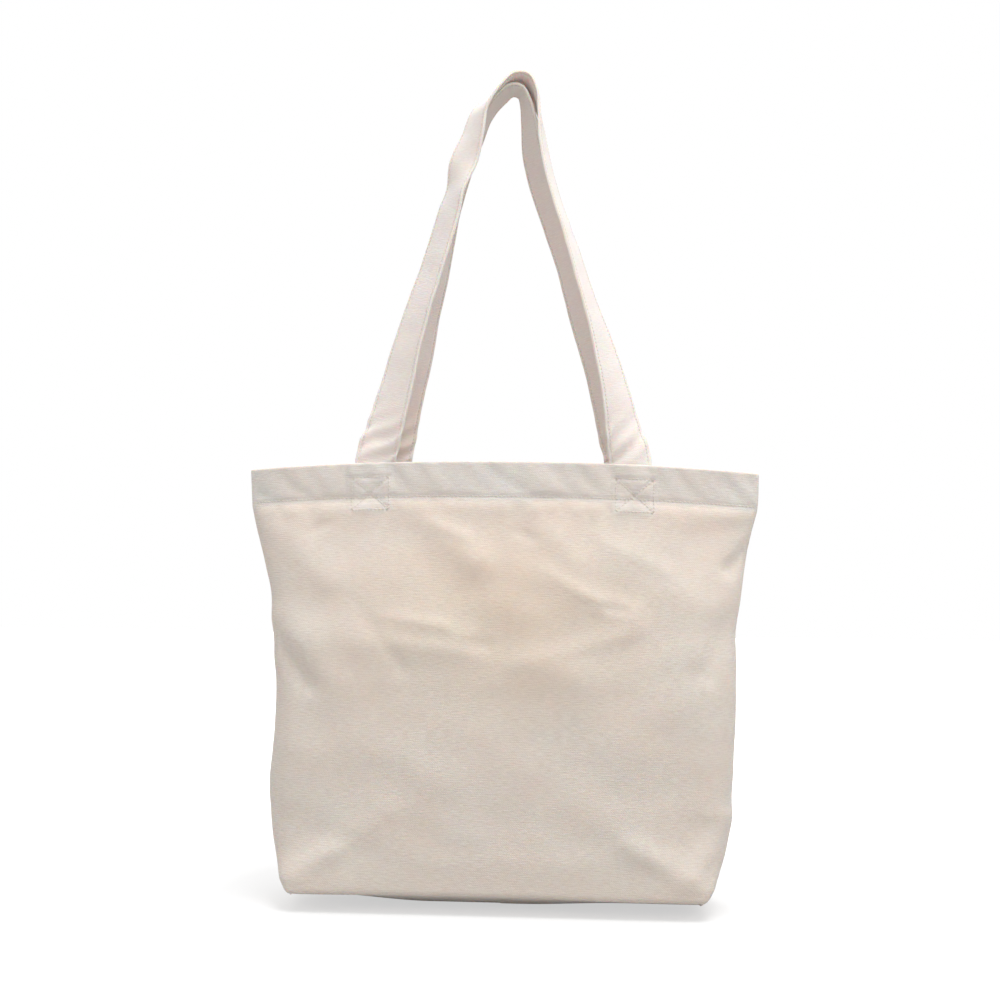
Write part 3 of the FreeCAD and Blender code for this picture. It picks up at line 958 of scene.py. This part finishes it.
# %% [markdown]
# ## Materials
# Unbleached cotton canvas is warm white, matt, and made of thick plain-weave threads. Its
# threads are uneven: some are fat for a few millimetres (slubs), and small pale flecks of
# unspun fibre stay in the yarn. Light goes into the cotton and comes out warmer, so the folds
# and the shaded faces of the handles look peach. Real threads of this weight lie about 0.7 mm
# apart, too fine to show in the render, so the weave is drawn coarser, at 1.9 mm.

# %% Colours and a small function for nodes
def linear(hex_colour):
    """Linear colour from an sRGB hex string."""
    parts = [int(hex_colour[i:i + 2], 16) / 255 for i in (1, 3, 5)]
    return tuple(p / 12.92 if p <= 0.04045 else ((p + 0.055) / 1.055) ** 2.4 for p in parts) + (1.0,)


def new_material(name):
    """An empty material and its tree of nodes."""
    material = bpy.data.materials.new(name)
    material.use_nodes = True
    material.node_tree.nodes.clear()
    return material, material.node_tree


def add(tree, kind, inputs=None, **settings):
    """Add a node, set its properties, then fill its inputs with values or with links.

    A node given as an input stands for its first output that is in use.
    """
    node = tree.nodes.new("ShaderNode" + kind)
    for key, value in settings.items():
        setattr(node, key, value)
    for key, value in (inputs or {}).items():
        if isinstance(value, bpy.types.Node):
            value = next(socket for socket in value.outputs if socket.enabled)
        if isinstance(value, bpy.types.NodeSocket):
            tree.links.new(value, node.inputs[key])
        else:
            node.inputs[key].default_value = value
    return node


print("unbleached cotton in linear light", [round(v, 3) for v in linear("#EEE6E0")])

# %% The cotton canvas
WEAVE_PITCH = 1.9 * MM
WEFT_SLUB = (7.1 * MM, 0.95 * MM)       # how far it goes across the cloth, and up it
WARP_SLUB = (0.71 * MM, 2.4 * MM)
FLECK_CELL = (3.85 * MM, 1.6 * MM)      # one fleck to each cell of this size
BLOTCH = 71 * MM


def canvas_material(name, light, dark, warm, glow, depth):
    """Plain-weave cotton: the colours of its threads, and how much light enters and how deep."""
    material, tree = new_material(name)
    cloth = add(tree, "UVMap", uv_map="cloth")
    split = add(tree, "SeparateXYZ", {0: cloth})
    # The weave: one sine across the threads of each direction, woven over and under.
    waves = []
    per_metre = 2 * math.pi / WEAVE_PITCH
    for axis in ("X", "Y"):
        turn = add(tree, "Math", {0: split.outputs[axis], 1: per_metre}, operation="MULTIPLY")
        waves.append(add(tree, "Math", {0: turn}, operation="SINE"))
    weave = add(tree, "Math", {0: waves[0], 1: waves[1]}, operation="MULTIPLY")
    # Slubs: noise drawn out along each thread, so it makes short streaks.
    streaks = []
    for long, tall in (WEFT_SLUB, WARP_SLUB):
        place = add(tree, "Mapping", {"Vector": cloth, "Scale": (1 / long, 1 / tall, 1.0)})
        grain = add(tree, "TexNoise", {"Vector": place, "Scale": 1.0, "Detail": 2.0, "Roughness": 0.6})
        streaks.append(grain)
    upright = add(tree, "Math", {0: streaks[1], 1: 0.5}, operation="MULTIPLY")
    slub = add(tree, "Math", {0: streaks[0], 1: upright}, operation="ADD")
    lines = add(tree, "Math", {0: waves[1], 1: 0.045}, operation="MULTIPLY")
    grain = add(tree, "Math", {0: slub, 1: lines}, operation="ADD")
    tone = add(tree, "MapRange", {"Value": grain, "From Min": 0.55, "From Max": 0.95})
    threads = add(tree, "Mix", {"Factor": tone, "A": linear(dark), "B": linear(light)}, data_type="RGBA")
    # Broad unevenness of the unbleached cotton.
    broad = add(tree, "TexNoise", {"Vector": cloth, "Scale": 1 / BLOTCH, "Detail": 3.0})
    amount = add(tree, "MapRange", {"Value": broad, "From Min": 0.35, "From Max": 0.7, "To Max": 0.35})
    toned = add(tree, "Mix", {"Factor": amount, "A": threads, "B": linear(warm)}, data_type="RGBA")
    # Pale flecks, about a millimetre long and half a millimetre across.
    spread = (1 / FLECK_CELL[0], 1 / FLECK_CELL[1], 1.0)
    place = add(tree, "Mapping", {"Vector": cloth, "Scale": spread})
    cells = add(tree, "TexVoronoi", {"Vector": place, "Scale": 1.0})
    fleck = add(tree, "MapRange", {
        "Value": cells, "From Min": 0.05, "From Max": 0.16, "To Min": 0.55, "To Max": 0.0})
    flecked = add(tree, "Mix", {"Factor": fleck, "A": toned, "B": linear("#F7F1E8")}, data_type="RGBA")
    # Painted glow: where the cloth is a single layer, a peach tint multiplied into its colour stands for
    # light coming through it from inside.
    through = add(tree, "Attribute", attribute_name="painted_glow_through")
    tinted = add(tree, "Mix", {
        "Factor": through.outputs["Fac"], "A": flecked, "B": linear("#FBF4EA")},
        data_type="RGBA", blend_type="MULTIPLY")
    weave_bump = add(tree, "Bump", {"Height": weave, "Strength": 0.35, "Distance": 0.12 * MM})
    slub_bump = add(tree, "Bump", {
        "Height": slub, "Strength": 0.8, "Distance": 0.36 * MM, "Normal": weave_bump})
    surface = add(tree, "BsdfPrincipled", {
        "Base Color": tinted, "Normal": slub_bump, "Roughness": 0.95,
        "Specular IOR Level": 0.2, "Sheen Weight": 0.2, "Sheen Roughness": 0.5,
        "Subsurface Weight": glow, "Subsurface Radius": (1.0, 0.5, 0.25), "Subsurface Scale": depth})
    add(tree, "OutputMaterial", {"Surface": surface})
    return material


# %% Cotton thread
THREAD_GRAIN = 1.1 * MM      # of its twist


def thread_material(name, colour):
    """Spun cotton thread: matt, with a fine twist."""
    material, tree = new_material(name)
    place = add(tree, "TexCoord")
    grain = add(tree, "TexNoise", {
        "Vector": place.outputs["Object"], "Scale": 1 / THREAD_GRAIN, "Detail": 2.0})
    pale = linear("#E9DFD2")
    tone = add(tree, "Mix", {"Factor": grain, "A": linear(colour), "B": pale}, data_type="RGBA")
    bump = add(tree, "Bump", {"Height": grain, "Strength": 0.5, "Distance": 0.1 * MM})
    surface = add(tree, "BsdfPrincipled", {
        "Base Color": tone, "Normal": bump, "Roughness": 0.9, "Sheen Weight": 0.2})
    add(tree, "OutputMaterial", {"Surface": surface})
    return material


# %% The four finishes
# Unbleached plain-weave cotton gives the warm off-white, the streaks and the flecks.
body_cotton = canvas_material(
    "unbleached_cotton_canvas", light="#EEE6E0", dark="#DDD2CA", warm="#EAD5C9",
    glow=0.45, depth=2.5 * MM)
# The same canvas folded on itself: paler, and lit from all round, so more light comes through.
strap_cotton = canvas_material(
    "folded_cotton_canvas_strap", light="#F0EBE6", dark="#E8E0DA", warm="#F0DFD3",
    glow=0.7, depth=3.0 * MM)
# Cotton sewing thread, a touch darker than the cloth so the rows read: the darker tone is painted shade
# of the dimples the stitches sink into.
sewing_thread = thread_material("cotton_sewing_thread", "#DCCFC3")
# Overlock thread, fluffier and paler.
overlock_thread = thread_material("cotton_overlock_thread", "#EFE8DC")
print("materials", [m.name for m in bpy.data.materials])

# %% [markdown]
# ## Dress each piece
# Each visual piece gets what it's made of, and the measured pieces it replaces are hidden. The
# body cloths, the hem and box stitches and the inside seams move with the bag; the handles and
# their edge stitches stay where they are made and move with nothing.


def give(obj, material):
    """Give the piece its material."""
    obj.data.materials.append(material)


for side, cloth, strap in (("front", front_cloth, front_strap), ("back", back_cloth, back_strap)):
    give(cloth, body_cotton)
    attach(cloth, "bag")
    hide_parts(side + "_panel", side + "_hem")
    give(strap, strap_cotton)
    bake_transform(strap)
    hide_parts(side + "_handle_loop", side + "_handle_end_left", side + "_handle_end_right")
    thread = stitch_objects[side + "_handle_stitches"]
    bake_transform(thread)

for node, obj in stitch_objects.items():
    give(obj, sewing_thread)
    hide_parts(node)
    if not node.endswith("handle_stitches"):
        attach(obj, "bag")

for node, (strip, thread) in seam_objects.items():
    give(strip, body_cotton)
    give(thread, overlock_thread)
    for obj in (strip, thread):
        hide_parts(node)
        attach(obj, "bag")

# %% [markdown]
# ## Studio
# A white sweep and soft light from above, as a shop would use: a broad lamp overhead gives the
# bright tops and the soft dark line under the bag, and weak large lamps in front and behind fill
# the folds. The backdrop is white to the camera, but it keeps the bag's soft shadow.

# %% Floor
WHITE = (1.0, 1.0, 1.0, 1.0)
SHOWN_GREY = (0.42, 0.42, 0.42, 1.0)    # lit by the lamps, this carries the shadow
BOUNCE_GREY = (0.5, 0.5, 0.5, 1.0)      # what the floor throws back on the bag
FLOOR_REACH = 3.0


def white_floor():
    """Paper that keeps the bag's shadow, and goes white to the camera away from it."""
    size = FLOOR_REACH
    corners = [(-size, -size, 0), (size, -size, 0), (size, size, 0), (-size, size, 0)]
    floor = mesh_object("stage_floor", corners, [(0, 1, 2, 3)], smooth_faces=False)
    material, tree = new_material("white_paper_sweep")
    rays = add(tree, "LightPath")
    diffuse = add(tree, "BsdfDiffuse", {"Color": SHOWN_GREY})
    place = add(tree, "NewGeometry")
    far = add(tree, "VectorMath", {0: place.outputs["Position"]}, operation="LENGTH")
    lift = add(tree, "MapRange", {
        "Value": far, "From Min": 0.25, "From Max": 0.8, "To Min": 0.56, "To Max": 1.2})
    bounce = add(tree, "BsdfDiffuse", {"Color": BOUNCE_GREY})
    glow = add(tree, "Emission", {"Color": WHITE, "Strength": lift})
    lit = add(tree, "AddShader", {0: diffuse, 1: glow})
    shown = add(tree, "MixShader", {0: rays.outputs["Is Camera Ray"], 1: bounce, 2: lit})
    add(tree, "OutputMaterial", {"Surface": shown})
    floor.data.materials.append(material)


white_floor()
print("floor", 2 * FLOOR_REACH, "m wide")

# %% Lamps
def area_lamp(name, place, target, size, power):
    """A square soft lamp at a place, turned to a target."""
    data = bpy.data.lights.new(name, "AREA")
    data.shape = "SQUARE"
    data.size = size
    data.energy = power
    lamp = bpy.data.objects.new(name, data)
    bpy.context.scene.collection.objects.link(lamp)
    lamp.location = place
    lamp.rotation_euler = (Vector(target) - Vector(place)).to_track_quat("-Z", "Y").to_euler()
    print(name, "of", power, "W")


area_lamp("top_lamp", (0.45, -0.6, 2.3), (0, 0, 0.25), 1.2, 36.0)
area_lamp("front_lamp", (-0.3, -2.6, 1.3), (0, 0, 0.35), 1.6, 7.3)
area_lamp("back_lamp", (-0.6, 1.3, 2.1), (0, 0, 0.25), 1.2, 12.0)

# %% World
SOFT_LIGHT = 0.62            # what the world gives the cloth, where its white shows as 1

world = bpy.data.worlds.new("white_world")
bpy.context.scene.world = world
world.use_nodes = True
world.node_tree.nodes.clear()
tree = world.node_tree
rays = add(tree, "LightPath")
seen = rays.outputs["Is Camera Ray"]
for kind in ("Is Glossy Ray", "Is Transmission Ray"):
    seen = add(tree, "Math", {0: seen, 1: rays.outputs[kind]}, operation="MAXIMUM")
soft = add(tree, "Background", {"Color": WHITE, "Strength": SOFT_LIGHT})
white = add(tree, "Background", {"Color": WHITE, "Strength": 1.0})
sky = add(tree, "MixShader", {0: seen, 1: soft, 2: white})
add(tree, "OutputWorld", {"Surface": sky})
print("world light", SOFT_LIGHT)

# %% [markdown]
# ## Camera
# A normal lens at about the height of the bag's mouth, one and a half metres away and turned
# four degrees, so that the mouth's top edge is seen almost edge on.

# %% Camera and view
DISTANCE = 1.5
AZIMUTH = math.radians(4.0)
ROLL = math.radians(-0.5)
EYE_HEIGHT = 0.348
ASIDE = -0.0034

camera_data = bpy.data.cameras.new("camera")
camera_data.lens = 62.8
camera_data.sensor_width = 36
camera = bpy.data.objects.new("camera", camera_data)
bpy.context.scene.collection.objects.link(camera)
camera_x = DISTANCE * math.sin(AZIMUTH) + ASIDE
camera.location = (camera_x, -DISTANCE * math.cos(AZIMUTH), EYE_HEIGHT)
camera.rotation_euler = (math.radians(90), ROLL, AZIMUTH)
bpy.context.scene.camera = camera
bpy.context.scene.view_settings.view_transform = "Standard"
print("camera", [round(v, 3) for v in camera.location])
